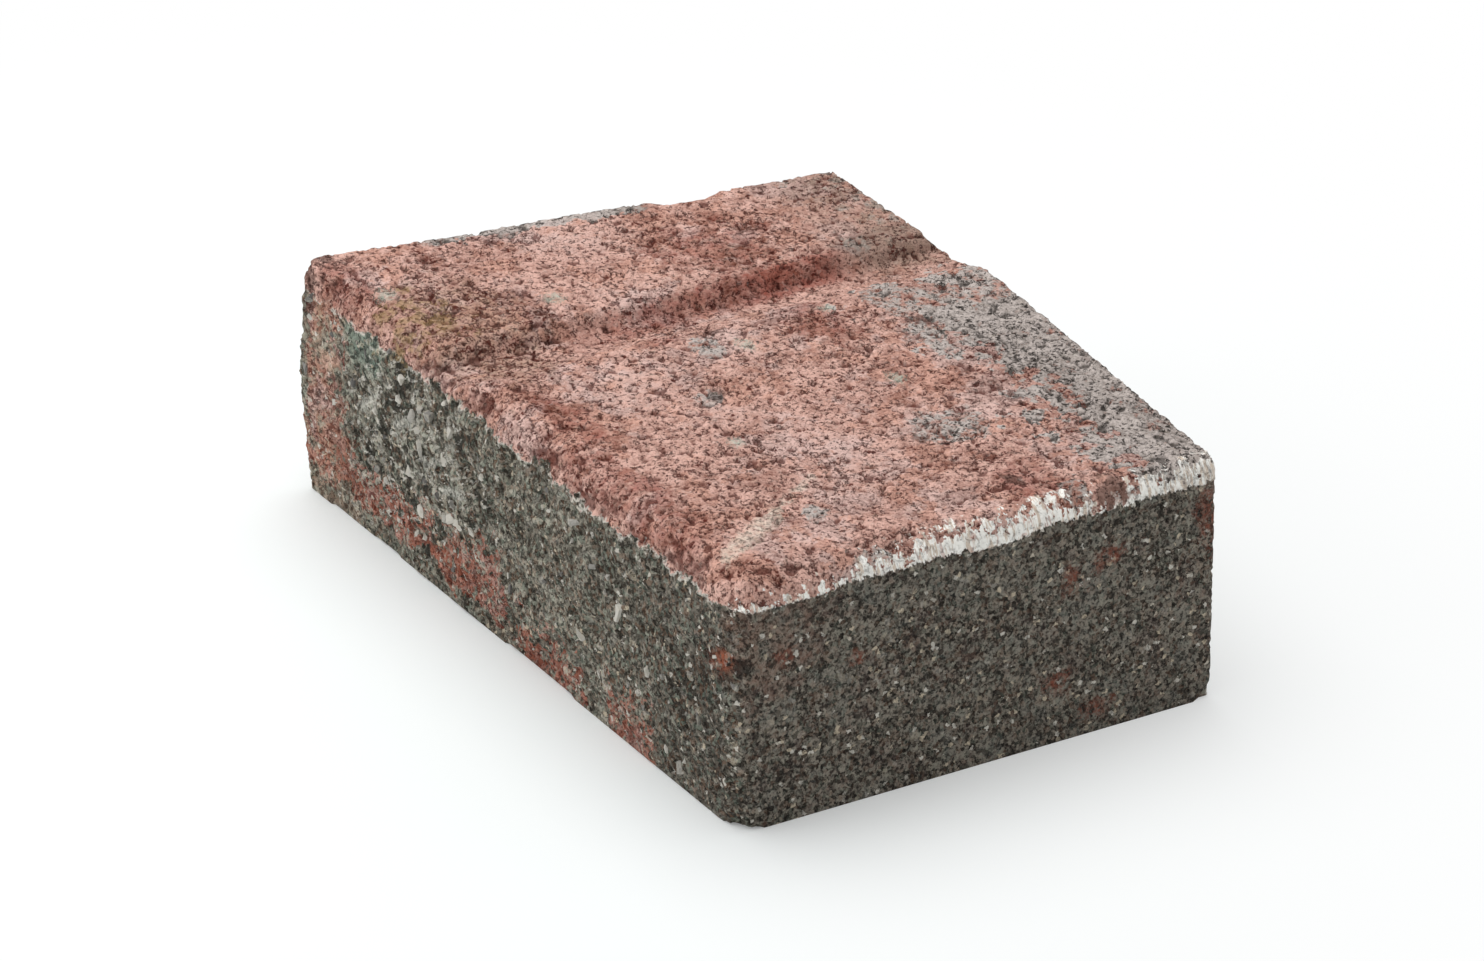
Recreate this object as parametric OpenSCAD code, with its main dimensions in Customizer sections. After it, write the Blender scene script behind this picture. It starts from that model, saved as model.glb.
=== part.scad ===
// Corner unit of a small segmental wall: one dry-cast concrete block with two split faces that meet.
// Its tail end, the side opposite the long split face and both beds are moulded, and the upper bed
// carries a shallow cross groove with one steep wall.
// X runs along the long split face, with +X toward the tail. +Y points to the moulded side, +Z up.
// The origin is the middle of the lower bed's bounding box. All lengths are in millimetres.

/* [Block] */
// Length of the long split face
block_length = 317; // [260:1:400]
// Overall width, from the proudest point of the long split face to the shoulder
block_width = 217.5; // [180:0.5:280]
// Height from bed to bed
block_height = 96; // [75:1:140]
// How much shorter the moulded side is than the long split face
face_skew = 35; // [0:1:50]

/* [Moulded side] */
// How far the moulded side draws in from the shoulder to the tail
tail_draw = 15.5; // [0:0.5:30]
// How far the head stands back from the shoulder
head_setback = 5.5; // [1:0.5:10]
// Length of the step from the shoulder to the head
shoulder_run = 5; // [2:0.5:15]
// Radius of the upright corner between the moulded side and the tail
tail_corner_r = 4; // [1:0.5:10]

/* [Groove] */
// Distance from the tail to the foot of the steep wall, along the middle of the block
groove_from_tail = 210; // [150:1:230]
// Turn of the groove out of square with the long split face, in degrees
groove_turn = 2.6; // [0:0.1:6]
// Depth of the groove
groove_depth = 6.5; // [2:0.5:12]
// Run of the steep wall
wall_run = 8; // [4:0.5:20]
// Width of the groove's floor
floor_run = 4; // [1:0.5:20]
// Run of the gentle side back up to the bed
ramp_run = 30; // [10:1:60]

/* [Split faces] */
// Depth of the broken relief on a split face
relief_depth = 4; // [1:0.5:6]
// How far the middle of a split face stands out from its upper and lower edges
face_bulge = 3; // [0:0.5:5]
// Radius of the upright corner where the two split faces meet
split_corner_r = 5; // [4:1:20]
// How far along each split face that corner stands proud
corner_hold = 22; // [10:1:40]
// Spacing of the points on a split face
relief_step = 8; // [6:1:16]

/* [Worn edges] */
// How far the upper edge of the long split face is worn down
long_drop = 12; // [4:0.5:20]
// How far that wear reaches in over the bed
long_run = 11; // [4:0.5:30]
// How far the upper edge of the short split face is worn, both ways
short_wear = 2; // [1:0.5:8]
// How much more the corner between the split faces is worn at its top
corner_wear = 2.5; // [0:0.5:6]
// Depth of the chip in the short split face's upper edge
chip_depth = 5; // [1:0.5:10]
// Length of the chip
chip_length = 30; // [20:1:60]
// Distance from the moulded side to the middle of the chip
chip_at = 66; // [40:1:140]
// How far the upper edge of the tail is broken down
tail_drop = 10.5; // [2:0.5:20]
// How far that break reaches in over the bed
tail_run = 7; // [2:0.5:20]
// Size of the upright corner knocked off between the long split face and the tail
corner_loss = 5; // [1:0.5:10]

/* [Hidden] */

half_length = block_length / 2;
half_width = block_width / 2;
head_y = half_width - head_setback;
tail_y = half_width - tail_draw;
shoulder_x = half_length - groove_from_tail + wall_run / 2;
skew_angle = atan(face_skew / block_width);
// How far each cut runs past the surfaces it meets
reach = 20;
// How far a cut's edge stands clear of the plane it trims
clear = 0.5;

// ---- Random relief --------------------------------------------------------------------------------

function fade(t) = t * t * (3 - 2 * t);
function mix(a, b, t) = a + (b - a) * t;
function clamp01(t) = min(1, max(0, t));
// Random heights from -1 to 1 on a square lattice
function lattice(cols, rows, seed) = [for (c = [0:cols + 2]) rands(-1, 1, rows + 3, seed + 17 * c)];
// The lattice read smoothly at any point
function read(field, u, v) =
    let (i = floor(u), j = floor(v), s = fade(u - i), t = fade(v - j))
    mix(mix(field[i][j], field[i + 1][j], s), mix(field[i][j + 1], field[i + 1][j + 1], s), t);
// A factor that wanders about 1 along an edge
function wander(field, s, spread) = 1 + spread * (0.6 * read(field, s / 40, 0) + 0.4 * read(field, s / 14, 1));

// Widths of the large, middle and small lumps of a broken surface, and the share of each
lump = [62, 27, 12];
share = [0.45, 0.35, 0.2];

// ---- Skin over a row of rings -----------------------------------------------------------------------

// Each ring is a closed section, clockwise when seen from the last ring's end
module skin(rings) {
    sides = len(rings[0]);
    last = (len(rings) - 1) * sides;
    polyhedron(
        points = [for (ring = rings) for (p = ring) p],
        faces = concat(
            [for (a0 = [0:sides:last - sides]) for (j = [0:sides - 1])
                let (a = a0 + j, b = a0 + (j + 1) % sides) [a, b, b + sides]],
            [for (a0 = [0:sides:last - sides]) for (j = [0:sides - 1])
                let (a = a0 + j, b = a0 + (j + 1) % sides) [a, b + sides, a + sides]],
            [[for (j = [sides - 1:-1:0]) j]],
            [[for (j = [0:sides - 1]) last + j]]
        ));
}

// ---- Blank, as it leaves the mould --------------------------------------------------------------------

// Points of a round corner, from direction a0 to a1
function corner(centre, r, a0, a1) =
    [for (k = [0:4]) centre + r * [cos(a0 + (a1 - a0) * k / 4), sin(a0 + (a1 - a0) * k / 4)]];

module blank() {
    linear_extrude(block_height)
        polygon(concat(
            [[-half_length - clear, -half_width - clear], [half_length, -half_width - clear]],
            corner([half_length - tail_corner_r, tail_y - tail_corner_r], tail_corner_r, 0, 86),
            [[shoulder_x, half_width], [shoulder_x - shoulder_run, head_y]],
            [[-half_length - clear, head_y]]
        ));
}

// ---- Split faces and their worn upper edges -------------------------------------------------------------

// Plan of the break as [x, y, direction into the block]. It follows the short split face from the moulded
// side, turns the corner between the split faces, and follows the long split face to the tail.
turn = 90 - skew_angle;
corner_centre = [-half_length + split_corner_r, -half_width + split_corner_r];
corner_start = corner_centre + split_corner_r * [-cos(skew_angle), sin(skew_angle)];
short_length = (half_width + reach - corner_start.y) / cos(skew_angle);
short_cols = ceil(short_length / relief_step);
long_start = -half_length + split_corner_r;
long_cols = ceil((block_length - split_corner_r) / relief_step);
break_plan = concat(
    [for (i = [short_cols:-1:1])
        concat(corner_start + short_length * i / short_cols * [sin(skew_angle), cos(skew_angle)], -skew_angle)],
    [for (k = [0:4])
        let (a = mix(-skew_angle, 90, k / 4)) concat(corner_centre - split_corner_r * [cos(a), sin(a)], a)],
    [for (i = [1:long_cols]) [mix(long_start, half_length + clear, i / long_cols), -half_width, 90]]
);

// Distance along the break from the moulded side, at each point of the plan
break_run = [for (i = 0, s = 0; i < len(break_plan);
    s = s + (i + 1 < len(break_plan) ? norm([for (c = [0:1]) break_plan[i + 1][c] - break_plan[i][c]]) : 0),
    i = i + 1) s];
break_length = break_run[len(break_run) - 1];
corner_at = short_length + split_corner_r * 0.75;

fields = [for (f = [0:2]) lattice(ceil(break_length / lump[f]), ceil(block_height / lump[f]) + 1, 7 + 100 * f)];
wear_field = lattice(ceil(break_length / 14) + 10, 3, 311);

// Share of the long edge's wear, which fades in past the corner between the split faces
function hold(s) = fade(clamp01((s - corner_at - 10) / 40));
// The chip in the short edge, and the blunted top of the corner between the split faces
function chip(s) = chip_depth * clamp01((chip_length / 2 - abs(s - reach - chip_at)) / 6);
function blunt(s) = corner_wear * fade(clamp01(1.4 - abs(s - corner_at) / 14));
function drop(s) = mix(short_wear, long_drop, hold(s)) * wander(wear_field, s, 0.3) + chip(s) + blunt(s);
function run(s) = mix(short_wear, long_run, hold(s)) * wander(wear_field, s + 60, 0.3) + 1.5 * chip(s);
// The loss at the tail's upright corner
function end_loss(s) = corner_loss * pow(clamp01(1 - (break_length - s) / corner_loss / 2), 2);

rows = ceil(block_height / relief_step);
// Turns of the worn edge's round section, from the bed down to the face
arc = [8, 24, 45, 68];

// The corner between the split faces keeps almost all of its stone
function proud(s) = fade(clamp01(1.3 - abs(s - corner_at) / corner_hold));

function relief(s, z) =
    let (rise = 2 * z / block_height - 1,
        lumps = share * [for (f = [0:2]) read(fields[f], s / lump[f], (z + clear) / lump[f])])
    relief_depth / 2 * mix(lumps, -0.68, proud(s)) + face_bulge * rise * rise + end_loss(s);

// The break's section at one point of the plan, as [loss, height] from the bed to the bottom
function section(s) =
    let (d = drop(s), r = run(s), foot = block_height - d)
    concat(
        [[1.15 * r + relief(s, block_height), block_height + clear]],
        [for (a = arc) [r * (1 - sin(a)) + relief(s, block_height - d * (1 - cos(a))),
            block_height - d * (1 - cos(a))]],
        [for (k = [rows:-1:0]) let (z = mix(-clear, foot, k / rows)) [relief(s, max(0, z)), z]]);

// What the splitter and wear have taken off
module broken_off() {
    outer = reach + face_skew;
    sections = [for (s = break_run) section(s)];
    low = min([for (line = sections) for (p = line) p[0]]);
    // Past its radius the corner would fold over
    room = [for (s = break_run) abs(s - corner_at) < split_corner_r ? 0.95 * split_corner_r : reach];
    skin([for (i = [0:len(break_plan) - 1])
        let (p = break_plan[i], inward = [cos(p[2]), sin(p[2])], foot = [p[0], p[1]])
        concat(
            [for (q = sections[i]) concat(foot + min(q[0] - low, room[i]) * inward, q[1])],
            [concat(foot - outer * inward, -clear), concat(foot - outer * inward, block_height + clear)]
        )]);
}

// ---- Groove across the upper bed --------------------------------------------------------------------------

// The groove's section: an S-shaped steep wall, a floor and a gentle S-shaped side
module groove_section() {
    wall = [for (k = [0:8]) [wall_run * (k / 8 - 1), -groove_depth * fade(k / 8)]];
    ramp = [for (k = [0:10]) [floor_run + ramp_run * k / 10, -groove_depth * (1 - fade(k / 10))]];
    polygon(concat([[-wall_run, reach]], wall, ramp, [[floor_run + ramp_run, reach]]));
}

module bed_groove() {
    translate([half_length - groove_from_tail, 0, block_height]) rotate([0, 0, -groove_turn])
        translate([0, half_width + reach, 0]) rotate([90, 0, 0])
            linear_extrude(block_width + 2 * reach) groove_section();
}

// ---- Broken upper edge of the tail --------------------------------------------------------------------------

tail_field = lattice(ceil(block_width / 14) + 10, 3, 523);

// The break is widest at the long split face's end
module tail_break() {
    cols = ceil(block_width / relief_step);
    skin([for (i = [0:cols])
        let (
            s = mix(-reach, block_width, i / cols),
            d = tail_drop * wander(tail_field, s + reach, 0.05),
            r = tail_run * (1.6 - 0.9 * s / block_width) * wander(tail_field, s + reach + 60, 0.3),
            y = s - half_width
        )
        [
            [half_length - 1.1 * r, y, block_height + clear],
            [half_length - 0.62 * r, y, block_height - 0.14 * d],
            [half_length - 0.22 * r, y, block_height - 0.5 * d],
            [half_length + clear, y, block_height - 1.05 * d],
            [half_length + reach, y, block_height - 1.05 * d],
            [half_length + reach, y, block_height + clear]
        ]]);
}

module wall_block() {
    color("rosybrown")
        difference() {
            blank();
            broken_off();
            bed_groove();
            tail_break();
        }
}

wall_block();
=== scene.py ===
"""Dresses the cast wall block for a picture: its rough surface, its stones, its colours and the studio."""
from math import cos, radians, sin

import bmesh
import bpy
from bpy.props import (
    FloatProperty,
    FloatVectorProperty,
    IntProperty,
    PointerProperty,
)
from bpy.types import Operator, Panel, PropertyGroup
from mathutils import Matrix, Vector


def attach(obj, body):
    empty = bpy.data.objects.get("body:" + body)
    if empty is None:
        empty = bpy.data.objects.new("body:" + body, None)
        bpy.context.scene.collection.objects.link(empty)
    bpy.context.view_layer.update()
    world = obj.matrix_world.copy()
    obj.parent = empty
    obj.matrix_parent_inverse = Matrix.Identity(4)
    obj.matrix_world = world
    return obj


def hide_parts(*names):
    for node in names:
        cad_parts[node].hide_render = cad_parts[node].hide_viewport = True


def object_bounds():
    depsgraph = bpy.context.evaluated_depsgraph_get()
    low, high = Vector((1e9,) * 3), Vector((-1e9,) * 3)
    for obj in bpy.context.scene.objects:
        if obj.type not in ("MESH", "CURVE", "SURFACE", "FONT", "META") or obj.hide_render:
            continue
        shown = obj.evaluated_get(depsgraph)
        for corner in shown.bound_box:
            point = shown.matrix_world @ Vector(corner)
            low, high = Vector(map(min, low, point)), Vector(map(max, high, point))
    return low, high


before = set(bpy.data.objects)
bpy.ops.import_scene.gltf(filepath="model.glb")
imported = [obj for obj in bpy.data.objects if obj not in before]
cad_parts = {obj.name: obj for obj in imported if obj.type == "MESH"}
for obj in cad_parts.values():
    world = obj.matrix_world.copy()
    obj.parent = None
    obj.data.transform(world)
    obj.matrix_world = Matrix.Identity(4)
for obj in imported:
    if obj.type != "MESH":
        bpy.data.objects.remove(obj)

bl_info = {
    "name": "Corner Wall Block",
    "version": (1, 0, 0),
    "blender": (4, 5, 0),
    "location": "View3D > Sidebar > Wall Block",
    "description": "Makes the rough cast surface, stones and finish of a split-faced corner wall block",
    "category": "Object",
}

SOLID = "wall_block"
BODY = "root"

BODY_NAME = "block_body"
STONES_NAME = "laid_open_stones"
MOST_STONES = 60000.0  # to a square metre, before their spacing thins them

MM = 1000.0  # millimetres in a metre
CAD_LOW, CAD_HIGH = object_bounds()
BED_HEIGHT = CAD_HIGH.z * MM  # the upper bed, in millimetres
TAIL_PLANE = CAD_HIGH.x * MM  # the moulded tail end
LONG_FACE = CAD_LOW.y * MM  # the long split face
FAR_CORNER = CAD_LOW.x * MM  # the corner between the two split faces

# Sizes in millimetres that the marks go by.
SHORT_FACE_SLANT = 0.161  # how far the short split face runs along x for each step along y
RED_DEPTH = 12.0  # how far the red layer reaches below the bed on the sides
BAND_DROP = 10.9  # how far the tail's broken edge reaches below the bed
GROOVE_TURN = 0.045  # how far the groove moves along x for each step along y
GROOVE_WALL = -50.6  # the middle of its steep wall, along x
GROOVE_FAR_WALL = -54.0  # the same at its far end
GROOVE_FOOT = -50.4  # the foot of that wall

# The studio, in metres.
FLOOR_HALF = 12.0
FLOOR_PARTS = 4
# The floor's white glow is painted light: near the block it lightens the floor and the block's shadow, and
# its middle lies toward the left front, so the floor is painted lighter to the right.
FADE_MIDDLE = (-0.04, -0.16, 0.0)  # the middle of the floor that keeps its shadow
FADE_START, FADE_END = 0.12, 0.6  # how far from there the floor begins and ends to fade
NEAR_WHITE = 0.14  # how much white the floor has near the block
SENSOR_WIDTH = 36.0  # of the camera, in millimetres
CLIP_END = 50.0
WHITE = (1.0, 1.0, 1.0, 1.0)


def colour(name, default, description):
    """A colour property, written as the eye reads it on a screen."""
    return FloatVectorProperty(
        name=name, description=description, default=default, subtype="COLOR_GAMMA", size=3, min=0, max=1)


def size(name, default, description, low, high):
    """A length property, in metres."""
    return number(
        name, default, description, min=low, max=high, subtype="DISTANCE", unit="LENGTH", precision=5)


def angle(name, degrees, description):
    """An angle property, whose default is given in degrees."""
    return number(name, radians(degrees), description, subtype="ANGLE", unit="ROTATION")


def number(name, default, description, **kind):
    """A number property, with the limits, subtype and unit that it needs."""
    return FloatProperty(name=name, description=description, default=default, **kind)


def whole(name, default, description, low, high):
    """A whole number property."""
    return IntProperty(name=name, description=description, default=default, min=low, max=high)


class BlockSurface(PropertyGroup):
    """Sizes of the cast surface's relief."""

    mesh_step: size("Mesh step", 0.00118, "Distance between points of the fine mesh", 0.0006, 0.01)
    face_limit: whole("Triangle limit", 190000, "The most triangles that the body may have", 10000, 199000)
    pit_depth: size("Pit depth", 0.0014, "Depth of the open voids in the beds", 0.0, 0.004)
    pit_size: size("Pit size", 0.0046, "Usual distance between voids in the upper bed", 0.001, 0.02)
    grain_depth: size("Grain depth", 0.0007, "Height of the sand and grit that the surface shows", 0.0, 0.003)
    split_depth: size("Split depth", 0.0017, "Depth of the torn hollows in the split faces", 0.0, 0.006)
    mould_depth: size("Mould depth", 0.0006, "Depth of the voids in the two moulded sides", 0.0, 0.003)
    seed: whole("Seed", 7, "Changes where voids and hollows fall", 0, 999)


class BlockStones(PropertyGroup):
    """Sizes of the stones that the split laid open."""

    smallest: size("Smallest stone", 0.0009, "Size of the smallest laid-open stone", 0.0004, 0.01)
    largest: size("Largest stone", 0.0066, "Size of the largest laid-open stone", 0.001, 0.02)
    spacing: size("Spacing", 0.0052, "Least distance between the middles of two stones", 0.001, 0.05)
    seed: whole("Seed", 12, "Changes where the stones lie", 0, 999)


class BlockColours(PropertyGroup):
    """Colours of the concrete's two mixes, its stones and its marks."""

    red_light: colour("Red, light", (0.88, 0.71, 0.655), "Red mix where it is rubbed and dry")
    red_deep: colour("Red, deep", (0.51, 0.325, 0.268), "Red mix in the hollows and where it is thick")
    dusty_light: colour("Dusty red, light", (0.88, 0.74, 0.70), "Greyer red mix where it is rubbed")
    dusty_deep: colour("Dusty red, deep", (0.49, 0.35, 0.31), "Greyer red mix in the hollows")
    brick_light: colour("Brick red, light", (0.85, 0.655, 0.585), "Redder mix where it is rubbed")
    brick_deep: colour("Brick red, deep", (0.45, 0.255, 0.195), "Redder mix in the hollows")
    bed_grey_light: colour("Bed grey, light", (0.775, 0.73, 0.705), "Grey of the bed where it is rubbed")
    bed_grey_deep: colour("Bed grey, deep", (0.39, 0.35, 0.32), "Grey of the bed in the hollows")
    charcoal_light: colour("Charcoal, light", (0.715, 0.69, 0.63), "Charcoal mix where it is rubbed and dry")
    charcoal_deep: colour("Charcoal, deep", (0.265, 0.247, 0.21), "Charcoal mix in the hollows")
    tail_light: colour("Tail, light", (0.555, 0.525, 0.48), "Charcoal mix at the tail where it is rubbed")
    tail_deep: colour("Tail, deep", (0.175, 0.155, 0.133), "Charcoal mix at the tail in the hollows")
    broken: colour("Broken edge", (1.0, 0.99, 0.965), "Broken, powdery concrete along the tail's edge")
    broken_deep: colour("Broken edge, deep", (0.86, 0.80, 0.74), "The same between its pale streaks")
    stone_pale: colour("Stone, pale", (0.86, 0.84, 0.80), "Palest of the laid-open stones")
    stone_dark: colour("Stone, dark", (0.36, 0.35, 0.34), "Darkest of the laid-open stones")
    stain: colour("Stain", (0.66, 0.55, 0.37), "Tan stain on the bed by the long edge")
    lichen: colour("Green grey", (0.55, 0.61, 0.55), "Green-grey grains in the charcoal mix")


class StudioSettings(PropertyGroup):
    """The floor, the lamps and the camera."""

    floor_colour: colour("Floor", (0.965, 0.98, 0.978), "Colour of the floor near the block")
    lamp_power: number("Overhead lamp", 21.0, "Power of the large lamp overhead", min=0, subtype="POWER")
    side_power: number("Side lamp", 7.8, "Power of the soft lamp at the long face", min=0, subtype="POWER")
    room_light: number("Room light", 0.52, "Strength of the even light", min=0, max=2)
    camera_azimuth: angle("Camera azimuth", 59.31, "Direction of the camera round the block")
    camera_elevation: angle("Camera elevation", 26.67, "Height of the camera above the floor, as an angle")
    camera_roll: angle("Camera roll", -0.19, "Turn of the camera about its own view")
    camera_distance: size("Camera distance", 2.907, "Distance from the camera to what it looks at", 0.2, 20.0)
    camera_aim: FloatVectorProperty(
        name="Camera aim", description="Place that the camera looks at", default=(0.012, -0.0159, 0.0517),
        subtype="TRANSLATION", unit="LENGTH", size=3,
    )
    camera_lens: number("Lens", 194.6, "Focal length in millimetres on a 36 mm wide sensor", min=10, max=500)


class Wire:
    """One output of a node, on which Python arithmetic adds Math nodes."""

    def __init__(self, graph, socket):
        self.graph, self.socket = graph, socket

    def __add__(self, other):
        return self.graph.math("ADD", self, other)

    __radd__ = __add__

    def __sub__(self, other):
        return self.graph.math("SUBTRACT", self, other)

    def __rsub__(self, other):
        return self.graph.math("SUBTRACT", other, self)

    def __mul__(self, other):
        return self.graph.math("MULTIPLY", self, other)

    __rmul__ = __mul__

    def __truediv__(self, other):
        return self.graph.math("DIVIDE", self, other)

    def __rtruediv__(self, other):
        return self.graph.math("DIVIDE", other, self)

    def __neg__(self):
        return self * -1

    def above(self, low, high):
        """0 below low, 1 above high, smooth between."""
        made = self.graph.node(
            "ShaderNodeMapRange", {"interpolation_type": "SMOOTHSTEP"},
            {"Value": self, "From Min": low, "From Max": high},
        )
        return self.graph.wire(made, "Result")

    def below(self, low, high):
        """1 below low, 0 above high, smooth between."""
        return 1 - self.above(low, high)

    def most(self, other):
        """The larger of the two."""
        return self.graph.math("MAXIMUM", self, other)

    def least(self, other):
        """The smaller of the two."""
        return self.graph.math("MINIMUM", self, other)

    def size(self):
        """The same without its sign."""
        return self.graph.math("ABSOLUTE", self)


class Graph:
    """Short ways to write a material's or a Geometry Nodes tree."""

    def __init__(self, tree):
        self.tree = tree

    def node(self, kind, settings=None, inputs=None):
        """Adds a node; its settings come first, then the values or links of its sockets."""
        made = self.tree.nodes.new(kind)
        for name, setting in (settings or {}).items():
            setattr(made, name, setting)
        for name, given in (inputs or {}).items():
            if isinstance(given, Wire):
                self.tree.links.new(given.socket, made.inputs[name])
            else:
                made.inputs[name].default_value = given
        return made

    def wire(self, node, output=0):
        return Wire(self, node.outputs[output])

    def math(self, operation, *values):
        return self.wire(self.node("ShaderNodeMath", {"operation": operation}, dict(enumerate(values))))

    def vector(self, operation, *values):
        return self.wire(self.node("ShaderNodeVectorMath", {"operation": operation}, dict(enumerate(values))))

    def scaled(self, vector, factor):
        made = self.node("ShaderNodeVectorMath", {"operation": "SCALE"}, {0: vector, "Scale": factor})
        return self.wire(made)

    def parts(self, vector):
        made = self.node("ShaderNodeSeparateXYZ", inputs={0: vector})
        return [self.wire(made, i) for i in range(3)]

    def joined(self, x, y, z):
        return self.wire(self.node("ShaderNodeCombineXYZ", inputs={0: x, 1: y, 2: z}))

    def measure(self, operation, *values):
        """A number that vectors give: a length, a distance or a dot product."""
        made = self.node("ShaderNodeVectorMath", {"operation": operation}, dict(enumerate(values)))
        return self.wire(made, "Value")

    def noise(self, place, grain, detail=2.0, roughness=0.5, lacunarity=2.0, output="Fac"):
        """Cloudy noise from 0 to 1; grain is its size in the same unit as the place."""
        made = self.node("ShaderNodeTexNoise", inputs={
            "Vector": place, "Scale": 1 / grain, "Detail": detail, "Roughness": roughness,
            "Lacunarity": lacunarity})
        return self.wire(made, output)

    def noise_vector(self, place, grain):
        """Noise in all three directions, each from -0.5 to 0.5."""
        return self.vector("SUBTRACT", self.noise(place, grain, 1.0, output="Color"), (0.5, 0.5, 0.5))

    def domes(self, place, grain, smoothness):
        """Distance to the nearest of scattered points, in cells of that size, smoothed between cells."""
        made = self.node("ShaderNodeTexVoronoi", {"feature": "SMOOTH_F1"}, {
            "Vector": place, "Scale": 1 / grain, "Smoothness": smoothness})
        return self.wire(made, "Distance")

    def cells(self, place, grain, ragged_grain, ragged):
        """Three numbers from -0.5 to 0.5 for each cell of that size, whose outline is ragged."""
        bent = self.vector("ADD", place, self.scaled(self.noise_vector(place, ragged_grain), ragged))
        made = self.node("ShaderNodeTexVoronoi", inputs={"Vector": bent, "Scale": 1 / grain})
        return [part - 0.5 for part in self.parts(self.wire(made, "Color"))]

    def mix(self, factor, a, b):
        """Colour a where the factor is 0 and b where it is 1."""
        made = self.node(
            "ShaderNodeMix", {"data_type": "RGBA", "clamp_factor": True}, {0: factor, 6: a, 7: b})
        return self.wire(made, 2)

    def number_mix(self, factor, a, b):
        """Number a where the factor is 0 and b where it is 1."""
        return a + (b - a) * factor

    def spot(self, place, middle, spread, wander=0.0):
        """1 at a place and 0 beyond its spread, an ellipsoid with a wandering outline."""
        away = self.vector("DIVIDE", self.vector("SUBTRACT", place, middle), spread)
        return (self.measure("LENGTH", away) + wander).below(0.55, 1.0)

    def spots(self, place, marks, wander=0.0):
        """Several spots in one mask; each mark is a middle and a spread."""
        mask = self.spot(place, *marks[0], wander)
        for middle, spread in marks[1:]:
            mask = mask.most(self.spot(place, middle, spread, wander))
        return mask

    def along_line(self, place, start, end):
        """How far along a line a place lies, from 0 to 1, and its distance from the line."""
        run = Vector(end) - Vector(start)
        from_start = self.vector("SUBTRACT", place, start)
        share = (self.measure("DOT_PRODUCT", from_start, run) / run.length_squared).most(0.0).least(1.0)
        return share, self.measure("DISTANCE", from_start, self.scaled(run, share))

    def where_seen(self):
        """1 for rays from the camera and off or through shiny things, 0 for rays that carry light."""
        rays = self.node("ShaderNodeLightPath")
        straight, mirrored, passed = (
            self.wire(rays, name) for name in ("Is Camera Ray", "Is Glossy Ray", "Is Transmission Ray"))
        return straight.most(mirrored).most(passed)


def seen(rgb):
    """A screen colour as the linear RGBA that a shader takes."""
    return tuple(c / 12.92 if c <= 0.04045 else ((c + 0.055) / 1.055) ** 2.4 for c in rgb) + (1.0,)


class Coat:
    """The colour of a surface, on which layers are laid one over another."""

    def __init__(self, graph, colour):
        self.graph, self.colour = graph, colour

    def lay(self, mask, colour):
        """Covers the surface with a colour where the mask is 1."""
        layer = colour if isinstance(colour, Wire) else seen(colour)
        self.colour = self.graph.mix(mask, self.colour, layer)


def new_tree(name, sizes):
    """A Geometry Nodes tree and its inputs: the geometry, the named sizes and the finish."""
    tree = bpy.data.node_groups.new(name, "GeometryNodeTree")
    tree.is_modifier = True
    tree.interface.new_socket("Geometry", in_out="INPUT", socket_type="NodeSocketGeometry")
    for label, default in sizes.items():
        kind = "NodeSocketInt" if isinstance(default, int) else "NodeSocketFloat"
        tree.interface.new_socket(label, in_out="INPUT", socket_type=kind).default_value = default
    tree.interface.new_socket("Finish", in_out="INPUT", socket_type="NodeSocketMaterial")
    tree.interface.new_socket("Geometry", in_out="OUTPUT", socket_type="NodeSocketGeometry")
    g = Graph(tree)
    given = g.node("NodeGroupInput")
    return g, {socket.name: Wire(g, socket) for socket in given.outputs if socket.name}


def dress(g, geometry, finish):
    """Ends a Geometry Nodes tree: the result takes the finish and is given out."""
    dressed = g.node("GeometryNodeSetMaterial", inputs={"Geometry": geometry, "Material": finish})
    g.tree.links.new(dressed.outputs[0], g.node("NodeGroupOutput").inputs[0])
    return g.tree


def new_material(name):
    """A material whose tree is empty, and the short ways to write it."""
    material = bpy.data.materials.new(name)
    material.use_nodes = True
    material.node_tree.nodes.clear()
    return material, Graph(material.node_tree)


def shade_surface(g, shader):
    """Ends a material's tree."""
    g.tree.links.new(shader.outputs[0], g.node("ShaderNodeOutputMaterial").inputs["Surface"])


def mineral(g, surface, roughness, gloss, height, strength, distance):
    """Ends the tree of a dull finish whose finest grain is a bump."""
    bump = g.node("ShaderNodeBump", inputs={"Strength": strength, "Distance": distance, "Height": height})
    shade_surface(g, g.node("ShaderNodeBsdfPrincipled", inputs={
        "Base Color": surface, "Roughness": roughness, "Specular IOR Level": gloss, "Normal": g.wire(bump)}))


def set_inputs(modifier, settings, lengths, **values):
    """Sets a tree's inputs by their sockets' identifiers; the named lengths go in as millimetres."""
    values.update({name: getattr(settings, name) * MM for name in lengths})
    for item in modifier.node_group.interface.items_tree:
        key = item.name.lower().replace(" ", "_")
        if item.item_type == "SOCKET" and item.in_out == "INPUT" and key in values:
            modifier[item.identifier] = values.pop(key)
    if values:
        raise ValueError(f"the tree has no inputs named {sorted(values)}")


def fresh_object(name, mesh):
    """A new object in the scene, in place of any that an earlier run left."""
    old = bpy.data.objects.get(name)
    if old:
        bpy.data.objects.remove(old, do_unlink=True)
    made = bpy.data.objects.new(name, mesh)
    bpy.context.scene.collection.objects.link(made)
    return made


def settle(piece):
    """Turns the modified piece into a plain mesh and takes its modifiers off."""
    depsgraph = bpy.context.evaluated_depsgraph_get()
    depsgraph.update()
    mesh = bpy.data.meshes.new_from_object(piece.evaluated_get(depsgraph), depsgraph=depsgraph)
    mesh.name = piece.name
    piece.modifiers.clear()
    old, piece.data = piece.data, mesh
    bpy.data.meshes.remove(old)


# ---------------------------------------------------------------- the cast surface


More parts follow.
